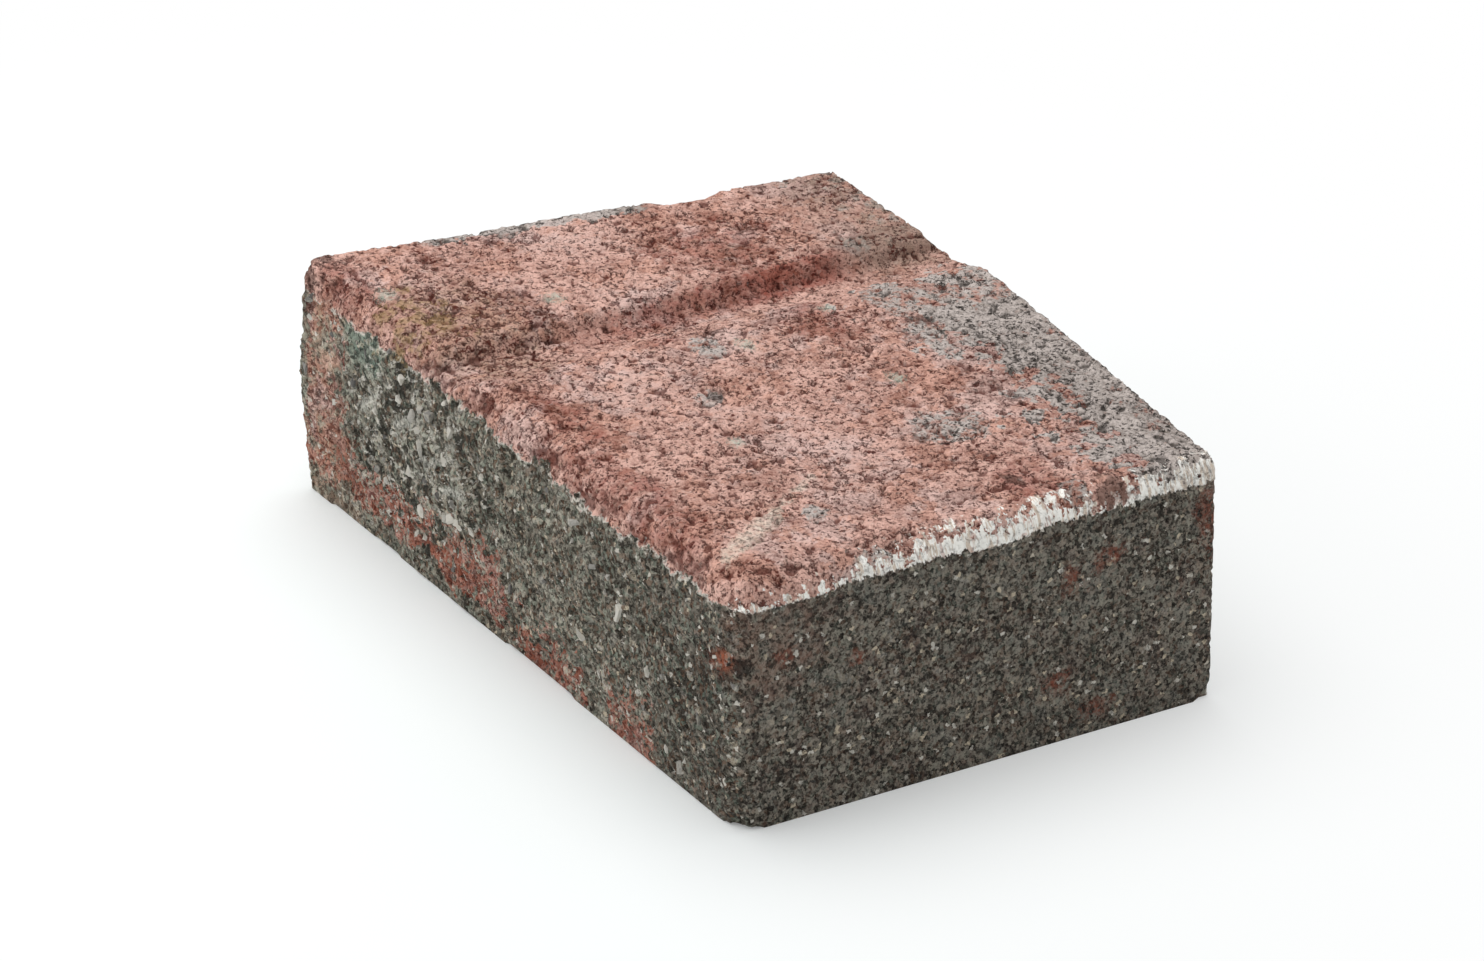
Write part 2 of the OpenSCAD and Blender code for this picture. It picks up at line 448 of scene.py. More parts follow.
def open_ground(g, place):
    """From 0 where a bed is closed and smooth to 1 where it lies open, full of pits."""
    drift = g.noise(place, 30, 2, 0.5).above(0.47, 0.63) * 0.6
    rough = g.spot(place, (-70, -76, 92), (64, 32, 26))
    rim = g.parts(place)[1].below(-106, -82) * 0.45
    return drift.most(rough).most(rim)


def cast_surface_tree():
    """Geometry Nodes that press voids and grains into the block, and tear the split faces both ways."""
    g, value = new_tree("Cast surface", {
        "Pit depth": 1.4, "Pit size": 4.6, "Grain depth": 0.7, "Split depth": 1.7, "Mould depth": 0.6,
        "Seed": 7.0,
    })
    place = g.scaled(g.wire(g.node("GeometryNodeInputPosition")), MM)
    seed = value["Seed"]
    shifted = g.vector("ADD", place, g.joined(seed * 31.7, seed * 17.3, seed * 5.9))
    normal = g.wire(g.node("GeometryNodeInputNormal"))
    nx, ny, nz = g.parts(normal)
    x, y, z = g.parts(place)

    # Where each kind of face lies.
    upper = nz.above(0.62, 0.9)
    lower = (-nz).above(0.5, 0.85)
    split = (-ny).most(-nx).above(0.45, 0.8)
    mould = ny.most(nx).above(0.5, 0.85)

    # Voids: wide ones and many small ones, more of them where the bed lies open.
    opened = open_ground(g, place)
    wide = g.noise(shifted, value["Pit size"], 3, 0.6, 2.2)
    voids = (wide - opened * 0.04).below(0.37, 0.43)
    small = g.noise(g.vector("ADD", shifted, (11, 5, 3)), value["Pit size"] * 0.45, 2, 0.6)
    holes = (small - opened * 0.03).below(0.37, 0.45)
    # Grains: rounded tops with narrow joints, on a bed that waves a little.
    grains = g.domes(shifted, 3.4, 0.3).above(0.2, 0.85)
    grit = g.noise(shifted, 2.8, 3, 0.7).below(0.32, 0.72)
    wave = g.noise(shifted, 26, 2, 0.5).below(0.3, 0.7)
    bed_depth = (
        voids * value["Pit depth"]
        + holes * value["Pit depth"] * 0.4
        + (grains * 0.3 + grit * 0.55 + wave * 0.35) * value["Grain depth"]
    )
    # The split stands proud of its mean in places and is torn out in others, with the beds of lost stones.
    torn = g.noise(shifted, 17, 3, 0.6, 2.3).below(0.3, 0.7) - 0.42
    lost = g.domes(g.vector("ADD", shifted, (3, 9, 21)), 7.5, 0.2).below(0.12, 0.5)
    split_depth = (
        (torn + lost * 0.35) * value["Split depth"]
        + (grains * 0.5 + grit * 0.8 + holes * 0.8) * value["Grain depth"]
    )
    # Moulded sides: flat, with pinholes and a little drag.
    mould_depth = (voids * 0.8 + holes * 0.8 + grit * 0.4) * value["Mould depth"]
    depth = upper * bed_depth + split * (1 - upper) * split_depth + mould * (1 - upper) * mould_depth
    # The worn rim between the faces takes the bed's roughness.
    rim = (1 - upper) * (1 - split) * (1 - mould) * (1 - lower)
    depth = depth + rim * bed_depth * 0.8
    # The finish reads this much of the depth to paint shade into the hollows.
    shaded_depth = depth

    def dents(*marks):
        """Dents in given places: the middle, spread, raggedness and depth of each."""
        return sum(
            g.spot(place, middle, spread, grit * ragged) * deep for middle, spread, ragged, deep in marks)

    # The moulded side's upper arris is rubbed off toward the tail, and three corners are knocked.
    rubbed = y.above(86, 92) * z.above(BED_HEIGHT - 7.0, BED_HEIGHT) * x.above(20, 120) * 0.6
    knocks = dents(
        ((TAIL_PLANE, 92, 0), (8, 8, 7), 0, 1.1),
        ((TAIL_PLANE - 4.0, LONG_FACE + 8.0, 0), (12, 10, 8), 0.3, 1.5),
        ((FAR_CORNER, LONG_FACE, BED_HEIGHT), (12, 12, 10), 0.2, 1.6),
    )
    # Beds of larger lost stones in the long face.
    lost_beds = dents(
        ((1, LONG_FACE + 3.0, 74), (9, 12, 15), 0.25, 2.6),
        ((-30, LONG_FACE + 3.0, 60), (9, 12, 7), 0.25, 1.8),
        ((62, LONG_FACE + 3.0, 38), (12, 12, 8), 0.25, 1.8),
    )
    depth = (depth + (rubbed * 1.7 + lost_beds) * (0.7 + grit * 0.6)) * z.above(0.2, 2.2) + knocks

    stored = g.node(
        "GeometryNodeStoreNamedAttribute", {"data_type": "FLOAT", "domain": "POINT"},
        {"Geometry": value["Geometry"], "Name": "shaded_depth", "Value": shaded_depth},
    )
    push = g.scaled(g.scaled(normal, -1 / MM), depth)
    moved = g.node("GeometryNodeSetPosition", inputs={"Geometry": g.wire(stored), "Offset": push})
    real = g.node("GeometryNodeRealizeInstances", inputs={"Geometry": g.wire(moved)})
    return dress(g, g.wire(real), value["Finish"])


def object_place(g):
    """The place on a piece, in metres."""
    return g.wire(g.node("ShaderNodeTexCoord"), "Object")


def bed_marks(reach, *marks):
    """Marks on the upper bed: the x and y of each and its spread along them; reach is that in height."""
    return tuple(((x, y, BED_HEIGHT), (wide, long, reach)) for x, y, wide, long in marks)


def tail_marks(*marks):
    """Marks on the tail end: the y and z of each and its spread along them."""
    return tuple(((TAIL_PLANE, y, z), (20, wide, high)) for y, z, wide, high in marks)


# Marks of this block, in millimetres. Those that lie lower give their whole middle and spread.
GREY_MARKS = bed_marks(
    30,
    (25, -36, 10, 8), (-12, -16, 16, 9), (120, -52, 11, 8), (88, 26, 20, 22), (-14, 64, 28, 15),
    (22, 60, 22, 14), (-60, 76, 9, 9),
) + (
    ((152, 36, 94), (10, 10, 30)), ((157, -48, 94), (7, 13, 30)),
)
DUSTY_MARKS = bed_marks(
    30,
    (2, -62, 36, 20), (-6, -8, 20, 14), (-112, 82, 34, 24), (70, 52, 80, 22), (134, -66, 24, 24),
) + (
    ((-136, -104, 50), (14, 24, 26)),
)
BRICK_MARKS = bed_marks(
    30,
    (20, -88, 52, 14), (-96, 28, 42, 30), (128, -94, 40, 14), (40, 34, 60, 20),
)
PALE_MARKS = bed_marks(
    9,
    (-7, -3, 8, 4.5), (60, -47, 4.5, 4), (45, 29, 6, 4.5), (-19, 38, 5.5, 4),
) + (
    ((-77, -43, 95), (6.5, 5, 9)), ((-112, -94, 95), (7, 5, 9)),
)
PALE_GROUND = bed_marks(
    30,
    (0, -58, 28, 22), (34, -40, 16, 14), (88, -24, 36, 20), (-118, -14, 24, 26), (-68, -20, 10, 12),
    (104, -36, 20, 14), (-7, -2, 14, 8), (-118, -76, 22, 9),
)
DEEP_GROUND = bed_marks(
    30,
    (-84, 30, 34, 28), (-12, 30, 26, 20), (78, -98, 70, 13), (18, -88, 34, 10), (-74, -60, 24, 10),
    (140, 26, 22, 16), (-130, -101, 26, 10), (-30, -28, 10, 12),
)
DARK_MARKS = bed_marks(
    9,
    (79, 57, 9, 3), (25, -34, 5.5, 5), (-24, -8, 5, 4.5), (92, 10, 4.5, 4), (8, 62, 7, 4.5),
    (136, 22, 7, 5),
) + (
    ((-151, -101, 90), (11, 12, 14)),
)
RED_GRAIN_MARKS = tail_marks(
    (25, 24, 7, 6), (44, 10, 8, 5), (33, 63, 7, 6), (47, 69, 8, 6), (90, 76, 8, 17), (-57, 56, 5, 4),
    (-86, 65, 5, 5),
) + (
    ((143, LONG_FACE, 61), (9, 9, 5)),
)
# The two ends of each pale flake in the long face; all lie at y 0, as the finish lays them flat.
FLAKES = (
    ((-111, 0, 53), (-97, 0, 64)), ((-83, 0, 57), (-67, 0, 66)), ((-59, 0, 51), (-44, 0, 60)),
    ((-46, 0, 46), (-32, 0, 51)),
)


def concrete_finish(colours):
    """Two mixes of dry-cast concrete, red over charcoal, with the block's own marks."""
    material, g = new_material("Split concrete")
    place = g.scaled(object_place(g), MM)
    x, y, z = g.parts(place)
    # The depth of the relief, by which shade is painted into the hollows.
    shaded_depth = g.wire(g.node("ShaderNodeAttribute", {"attribute_name": "shaded_depth"}), "Fac")

    def in_long_face(along, height, wide, high, ragged):
        """A spot in the long face, by its place along it and its height."""
        return g.spot(place, (along, LONG_FACE + 4.0, height), (wide, 20, high), ragged)

    # Noise at five scales, from 42 mm down to a grain of sand, each 0 on average.
    broad = g.noise(place, 42, 3, 0.55) - 0.5
    patch = g.noise(place, 12, 3, 0.65) - 0.5
    clump = g.noise(place, 5.5, 3, 0.65) - 0.5
    grain = g.noise(place, 2.6, 3, 0.7) - 0.5
    fine = g.noise(place, 1, 2, 0.7) - 0.5
    # Every grain of sand and every piece of grit has its own shade and a ragged outline.
    shade, rarity, tint = g.cells(place, 1.5, 0.9, 1.5)
    grit_shade, grit_rarity = g.cells(place, 3, 2.4, 3.4)[:2]
    drawn_down = g.vector("MULTIPLY", place, (0.2, 1, 0.2))
    opened = open_ground(g, place)

    # Where the faces lie.
    depth_below_bed = BED_HEIGHT - z
    on_tail = x.above(TAIL_PLANE - 3.0, TAIL_PLANE - 1.2)
    above_layer_edge = RED_DEPTH + patch * 17.0 + clump * 9.0 + grain * 6.0 - depth_below_bed
    layer_line = above_layer_edge.size().below(0.3, 1.3) * (1 - on_tail)
    # On the tail the red layer ends at the foot of the broken edge, which rises and falls.
    teeth = g.noise(drawn_down, 3, 3, 0.75) - 0.5
    rise = 1.3 - (y - 2.0).size().below(8, 17) * 1.7 + y.above(14, 24) * 0.7
    rise = rise + teeth * 5.0 + clump * 4.0
    band_foot = BED_HEIGHT - BAND_DROP + rise.most(0) * (1 - y.below(-70, -62))
    above_band_foot = (z - band_foot + fine).above(-0.4, 0.4)
    on_top = above_layer_edge.above(-0.8, 0.8) * (1 - on_tail) + on_tail * above_band_foot
    on_side = 1 - on_top
    from_far_face = x - FAR_CORNER - (y - LONG_FACE) * SHORT_FACE_SLANT

    # How much charcoal mix shows, from 0 for red to 1 for charcoal, before its edges are broken up.
    along_x = x + patch * 60.0
    far_side = (y + broad * 60.0 + patch * 75.0 + clump * 30.0).above(50, 68)
    far_side = far_side * (0.78 * along_x.above(-34, -20)).most(along_x.above(-6, 8))
    beyond_groove = (y + patch * 80.0).above(74, 98) * x.below(-64, -48)
    far_rim = (from_far_face + patch * 30.0 + grain * 14.0).below(9, 14) * y.below(20, 40)
    far_rim = far_rim * y.above(-68, -56)
    grey_marks = g.spots(place, GREY_MARKS, patch * 2.0 + clump * 1.6)
    top_share = (far_side * 0.74).most(beyond_groove * 0.42).most(far_rim * 0.75).most(grey_marks * 0.56)
    far_corner = (along_x + clump * 40.0).below(-131, -117) * y.below(-88, -60)
    far_corner = far_corner * (1 - x.below(-154, -147) * (z + patch * 160.0).above(22, 40) * 0.7)
    low_band_top = 30.0 - x.above(-14, 0) * 8.0
    low_band_top = low_band_top + g.spot(place, (-19, LONG_FACE, 30), (18, 30, 60)) * 8.0
    low_band = (low_band_top - z + patch * 110.0 + clump * 70.0).above(-2, 5) * x.below(98, 112)
    low_band = low_band * (1 - (x + patch * 40.0 - 60.0).size().below(5, 11) * 0.8)
    low_band = low_band * y.below(-60, -30)
    elsewhere = g.noise(place, 36, 3, 0.6).above(0.56, 0.6)
    elsewhere = elsewhere * (y.above(-60, -20) * 0.8) * (1 - on_tail)
    foot = (z + patch * 50.0).below(5, 11) * x.below(-30, 20) * 0.5
    side_share = 1.0 - 0.58 * far_corner.most(low_band).most(elsewhere) + foot + on_tail * 0.15
    share = on_top * top_share + on_side * side_share
    share = share + broad * 0.3 + patch * 0.9 + clump * 1.0 + grain * 0.6 + shade * 0.1
    charcoal = on_side * share.above(0.42, 0.6) + on_top * share.above(0.37, 0.64)

    # Each mix runs from deep to light. On the bed its matrix is quiet; on the sides the grains stand out.
    dusty = (g.noise(g.vector("ADD", place, (17, 4, 0)), 27, 3, 0.6)
             + g.spots(place, DUSTY_MARKS, patch * 2.0) * 0.1).above(0.53, 0.62)
    brick = (g.noise(g.vector("ADD", place, (3, 51, 0)), 15, 4, 0.68)
             + g.spots(place, BRICK_MARKS, patch * 2.0) * 0.07 + on_side * 0.06).above(0.52, 0.60)
    near_tail = ((x + patch * 80.0).above(30, 150) * 0.85).most(on_tail) * on_side
    light, deep = seen(colours.red_light), seen(colours.red_deep)
    for mask, name in (
        (dusty, "dusty"), (brick * 0.85, "brick"), (charcoal * on_top, "bed_grey"),
        (charcoal * on_side, "charcoal"), (charcoal * near_tail, "tail"),
        ((1 - charcoal) * on_side * dusty, "dusty"),
    ):
        light = g.mix(mask, light, seen(getattr(colours, name + "_light")))
        deep = g.mix(mask, deep, seen(getattr(colours, name + "_deep")))
    bed_tone = 0.68 + broad * 0.9 + patch * 1.3 + clump * 1.1 + grain * 0.9 + fine * 1.1 + shade * 0.3
    pale_ground = g.spots(place, PALE_GROUND, patch * 2.0 + clump) * on_top
    deep_ground = g.spots(place, DEEP_GROUND, patch * 2.0 + clump) * on_top
    bed_tone = bed_tone + pale_ground * 0.18 - deep_ground * 0.17
    side_tone = 0.35 + broad * 0.6 + patch * 1.1 + clump * 0.8 + grain * 0.7 + fine * 0.7 + shade * 0.7
    fleck_field = g.spot(place, (-75, LONG_FACE + 5.0, 54), (62, 40, 42), patch * 1.6)
    side_tone = side_tone + grit_shade * 0.25 + far_corner * 0.2
    side_tone = side_tone + fleck_field * (0.01 + clump * 1.6 + patch * 2.2)
    # Lighter and darker ground in the long face: place along it and height, spread, raggedness and tone.
    for along, height, wide, high, ragged, tone in (
        (-106, 66, 26, 26, 1.6, 0.12), (112, 38, 17, 15, 2, -0.16), (-22, 46, 24, 28, 2, -0.06),
    ):
        side_tone = side_tone + in_long_face(along, height, wide, high, patch * ragged) * tone
    side_tone = side_tone + x.above(110, 140) * z.above(62, 80) * 0.08
    tail_tone = 0.53 + broad * 0.6 + patch * 1.0 + clump * 0.9 + grain * 1.4 + fine * 2.0 + shade * 1.0
    side_tone = g.number_mix(on_tail, side_tone, tail_tone)
    coat = Coat(g, g.mix(g.number_mix(on_top, side_tone, bed_tone), deep, light))
    coat.lay(pale_ground * (0.2 + clump * 2.0), (0.83, 0.72, 0.69))
    coat.lay(deep_ground * (0.2 + clump * 2.0), (0.57, 0.27, 0.22))

    ragged_red = (1 - charcoal) * low_band * on_side
    coat.lay(ragged_red * (0.48 + clump * 2.0), (0.63, 0.36, 0.275))
    coat.lay(far_corner * on_side * (0.25 + clump * 2.0), (0.70, 0.54, 0.44))

    # The groove's steep wall is a deeper red, grey at its far end, and darker partly as painted shade, where
    # it faces away from the light; a painted shade line runs along its foot.
    groove = x + y * GROOVE_TURN
    wall = (groove - GROOVE_WALL + fine * 4.0 + grain * 9.0 + patch * 10.0).size().below(4.5, 9) * on_top
    # Deeper red, partly painted shade on the wall that faces away from the light.
    red_shaded_wall = wall * y.above(-56, -24) * y.below(58, 76)
    redness = 0.4 + y.above(2, 40) * 0.22 + patch * 1.5 + grain
    coat.lay(red_shaded_wall * redness, (0.57, 0.29, 0.235))
    # A darker grey, partly painted shade, on the wall's far end.
    grey_shaded_wall = (groove - GROOVE_FAR_WALL).size().below(7, 12) * on_top
    grey_shaded_wall = grey_shaded_wall * (y + patch * 60.0).above(60, 76)
    coat.lay(grey_shaded_wall * 0.5, (0.42, 0.37, 0.33))
    # A painted shade line in the crease at the wall's foot.
    foot_shade = (groove - GROOVE_FOOT + grain * 9.0).size().below(0.5, 2.2)
    foot_shade = foot_shade * y.above(-40, 0) * y.below(50, 70)
    coat.lay(foot_shade * (0.24 + clump * 1.5), (0.24, 0.12, 0.10))
    # The bed is duller beyond the groove, toward the moulded side.
    dull = y.above(58, 92) * x.below(-50, -28) * on_top
    coat.lay(dull * (0.42 + clump * 2.0), (0.57, 0.48, 0.42))
    # Brown, open ground at the groove's other end.
    rough_end = g.spot(place, (-70, -80, 92), (56, 30, 24), patch * 1.6)
    coat.lay(rough_end * (0.32 + clump * 1.6), (0.65, 0.54, 0.45))

    # Green-grey and brown grains lie among the charcoal, and a green-grey smear on the long face.
    tinted = charcoal * on_side * (1 - on_tail * 0.6) * 0.3
    coat.lay(tinted * tint.above(0.26, 0.34), colours.lichen)
    russet = charcoal * on_side * tint.below(-0.34, -0.22) * (0.42 - on_tail * 0.2)
    coat.lay(russet, (0.50, 0.37, 0.29))
    smear = in_long_face(-108, 77, 20, 11, patch * 1.6 + grain * 0.6)
    coat.lay(smear * 0.55 * on_side, (0.56, 0.64, 0.585))

    # The tail drifts between bluish and pinkish grey, and is rusty at its upper corner by the long face.
    coat.lay(on_tail * patch.above(0.02, 0.12) * 0.16, (0.36, 0.40, 0.40))
    coat.lay(on_tail * (-patch).above(0.02, 0.12) * 0.16, (0.44, 0.36, 0.35))
    rusty = g.spot(place, (TAIL_PLANE, -92, 70), (20, 24, 24), patch * 2.0) * on_side
    coat.lay(rusty * (0.25 + clump * 2.5), (0.52, 0.41, 0.36))

    # Voids are painted with shadow and deep colour, as the bump casts no shadow into them.
    pits = (g.noise(place, 2, 4, 0.8) - opened * 0.03).below(0.36, 0.455)
    aside = g.vector("ADD", place, (40, 0, 0))
    wells = (g.noise(aside, 3.6, 4, 0.72) - opened * 0.045).below(0.34, 0.42)
    # Painted shade where the relief is pressed deepest.
    sunk = shaded_depth.above(0.75, 1.6)
    shadow = g.mix(charcoal, seen((0.31, 0.075, 0.03)), seen((0.12, 0.095, 0.07)))
    # Painted shadow in pits the size of a grain on the sides.
    grain_pit = rarity.below(-0.43, -0.4)
    holes = (pits * 0.8).most(wells * 0.92).most(sunk * 0.7) * on_top
    holes = holes.most((pits * 0.6).most(grain_pit * 0.7).most(wells * 0.55).most(sunk * 0.4) * on_side)
    coat.lay(holes, shadow)
    dark_marks = g.spots(place, DARK_MARKS, clump * 3.0 + grain * 2.0)
    coat.lay(dark_marks * 0.6, (0.25, 0.16, 0.14))

    # Pale grains: sparse on the beds and thicker on the split and the tail.
    sparkle = (rarity - on_tail * 0.004).above(0.455, 0.47) * (0.15 + 0.85 * on_side)
    pebble = grit_rarity.above(0.474, 0.482) * on_side * (0.4 - on_tail * 0.2)
    pale_grain = g.mix(tint.above(-0.1, 0.1), seen(colours.stone_pale), seen((0.80, 0.74, 0.65)))
    coat.lay((sparkle * 0.75).most(pebble), pale_grain)
    # Pale, slanted flecks and light and dark blotches, most of them in one field of the long face.
    slanted = g.vector("ADD", place, g.joined(z * -0.5, 0, x * -0.25))
    flecks = g.noise(g.vector("MULTIPLY", slanted, (0.6, 1, 1)), 3, 2, 0.65).above(0.585, 0.64)
    fleck_mask = flecks * on_side * (0.14 + 0.6 * fleck_field) * (1 - on_tail)
    coat.lay(fleck_mask, colours.stone_pale)
    blotch = (clump + patch * 0.8) * fleck_field * on_side
    coat.lay(blotch.above(0.05, 0.12) * 0.4, (0.72, 0.71, 0.67))
    coat.lay((-blotch).above(0.05, 0.11) * 0.5, (0.20, 0.20, 0.18))
    # A broken row of pale grains runs where the red layer ends.
    pale_run = patch * 2.0 + grain * 2.0 + 0.12 + x.above(80, 120) * 0.14
    coat.lay(layer_line * pale_run.above(0, 0.3) * 0.75, colours.stone_pale)

    # Large pale flakes, split across, in the long face, and a tan one near the far corner.
    flat = g.vector("MULTIPLY", place, (1, 0, 1))
    flake = g.along_line(flat, *FLAKES[0])[1]
    for ends in FLAKES[1:]:
        flake = flake.least(g.along_line(flat, *ends)[1])
    flake = (flake + clump * 8.0 + grain * 6.0).below(1.2, 2.8) * on_side * y.below(-80, -60)
    coat.lay(flake * (0.5 + fine * 2.0), (0.76, 0.75, 0.71))
    tan_flake = in_long_face(-136, 61, 9, 6, clump * 2.0) * on_side
    coat.lay(tan_flake * 0.5, (0.84, 0.68, 0.59))

    # Red grains in the charcoal, and a red chip at the near corner with a painted shadow beside it.
    embers = g.spots(place, RED_GRAIN_MARKS, clump * 3.0 + grain * 3.0) * on_side
    coat.lay(embers * (0.48 + grain * 4.0), (0.50, 0.29, 0.23))
    chip = g.spot(place, (150, LONG_FACE + 2.0, 65), (8, 8, 5.5), grain * 2.0) * on_side
    coat.lay(chip * (0.6 + grain * 4.0), (0.62, 0.34, 0.24))
    # Painted shadow beside the chip.
    chip_shadow = g.spot(place, (156.5, LONG_FACE + 5.0, 64), (5, 6, 5), grain * 2.0) * on_side
    coat.lay(chip_shadow * 0.8, (0.08, 0.06, 0.05))

    # Tan stain on the bed by the long edge, broken up.
    stain = g.spot(place, (-88, -92, 92), (25, 18, 16), patch * 3.0)
    stained = stain * (0.55 + clump * 4.0 + grain * 3.0).above(0.2, 0.9)
    coat.lay(stained * 0.5, colours.stain)

    # Pale grains that lie alone on the bed, and a scuff that runs off toward the long edge.
    alone = g.spots(place, PALE_MARKS, fine * 2.0 + grain * 2.0)
    coat.lay(alone * (0.45 + grain * 3.0), (0.74, 0.77, 0.71))
    along, away_from_line = g.along_line(place, (97, -38, 96), (137, -98, 96))
    scuff_width = 0.8 + along.above(0.25, 0.6) * 3.0 - along.above(0.85, 1) * 1.6
    scuff = (away_from_line + grain * 9.0 + patch * 10.0 - scuff_width).below(0, 1.6) * on_top
    coat.lay(scuff * (0.42 + grain * 2.0), (0.92, 0.87, 0.80))

    # The broken, powdery arris at the tail: pale blocks of torn paste, wide in some stretches.
    width = (
        1.6 + y.above(-60, -56) * 3.0 + y.above(-30, -25) * 3.2 - y.above(30, 35) * 4.6
        + y.above(52, 57) * 3.2 + teeth * 9.0 + clump * 30.0
    )
    band = (z - band_foot + fine * 2.0).above(-0.4, 0.3)
    band = band * (band_foot + width - z + grain * 6.0).above(-0.3, 0.4)
    band = band * x.above(TAIL_PLANE - 10.0, TAIL_PLANE - 7.5)
    gaps = g.noise(g.vector("MULTIPLY", place, (0.5, 1, 0.4)), 2.6, 2, 0.7).below(0.38, 0.43)
    streak = g.noise(drawn_down, 1.8, 3, 0.75).above(0.42, 0.5)
    powder = g.mix(streak, seen(colours.broken_deep), seen(colours.broken))
    bite = g.spot(place, (TAIL_PLANE - 3.0, 50, 92), (12, 8, 5), clump * 3.0)
    coat.lay(bite * 0.55, (0.30, 0.24, 0.21))
    coat.lay(band * (1 - gaps * 0.6) * (1 - bite * 0.7), powder)

    # Grain that is finer than the mesh.
    height = grain * 0.55 + fine * 0.5 - pits * 0.6 - grain_pit * on_side * 0.4 + shade * 0.12
    height = height * (1 - band * 0.5)
    mineral(g, coat.colour, roughness=0.93, gloss=0.22, height=height, strength=1.0, distance=0.0013)
    return material


def stone_finish(colours):
    """Crushed stone laid open by the split: each stone has its own shade."""
    material, g = new_material("Laid-open stone")
    place = g.scaled(object_place(g), MM)
    shade = g.wire(g.node("ShaderNodeAttribute", {"attribute_name": "shade"}), "Fac")
    vein = g.noise(place, 1.1, 3, 0.6)
    tone = (shade * 0.8 + vein * 0.35).above(0.15, 1)
    dust = g.noise(place, 2.2, 2, 0.6).above(0.45, 0.65) * 0.5
    coat = Coat(g, g.mix(tone * 0.8, seen(colours.stone_dark), seen(colours.stone_pale)))
    coat.lay(dust, colours.charcoal_light)
    mineral(g, coat.colour, roughness=0.72, gloss=0.35, height=vein, strength=0.5, distance=0.0004)
    return material


class WALLBLOCK_OT_body(Operator):
    """Make the block's cast body, with its voids, grains and torn split faces"""

    bl_idname = "wall_block.make_body"
    bl_label = "Block Body"
    bl_options = {"REGISTER", "UNDO"}

    def execute(self, context):
        scene = context.scene
        surface = scene.block_surface
        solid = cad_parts[SOLID]

        merged = bmesh.new()
        merged.from_mesh(solid.data)
        bmesh.ops.remove_doubles(merged, verts=merged.verts, dist=1e-6)
        mesh = bpy.data.meshes.new(BODY_NAME)
        merged.to_mesh(mesh)
        merged.free()
        mesh.materials.clear()
        body = fresh_object(BODY_NAME, mesh)

        skin = body.modifiers.new("Even skin", "REMESH")
        skin.mode = "VOXEL"
        skin.voxel_size = surface.mesh_step
        skin.use_smooth_shade = True
        relief = body.modifiers.new("Cast surface", "NODES")
        relief.node_group = cast_surface_tree()
        set_inputs(
            relief, surface, ("pit_depth", "pit_size", "grain_depth", "split_depth", "mould_depth"),
            seed=float(surface.seed), finish=concrete_finish(scene.block_colours))
        settle(body)
        triangles = sum(len(p.vertices) - 2 for p in body.data.polygons)
        if triangles > surface.face_limit:
            thin = body.modifiers.new("Fewer flat faces", "DECIMATE")
            thin.ratio = surface.face_limit / triangles
            settle(body)
        if not body.data.polygons:
            raise RuntimeError("the body came out empty")
        keep_inside(body.data)
        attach(body, BODY)
        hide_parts(SOLID)
        return {"FINISHED"}


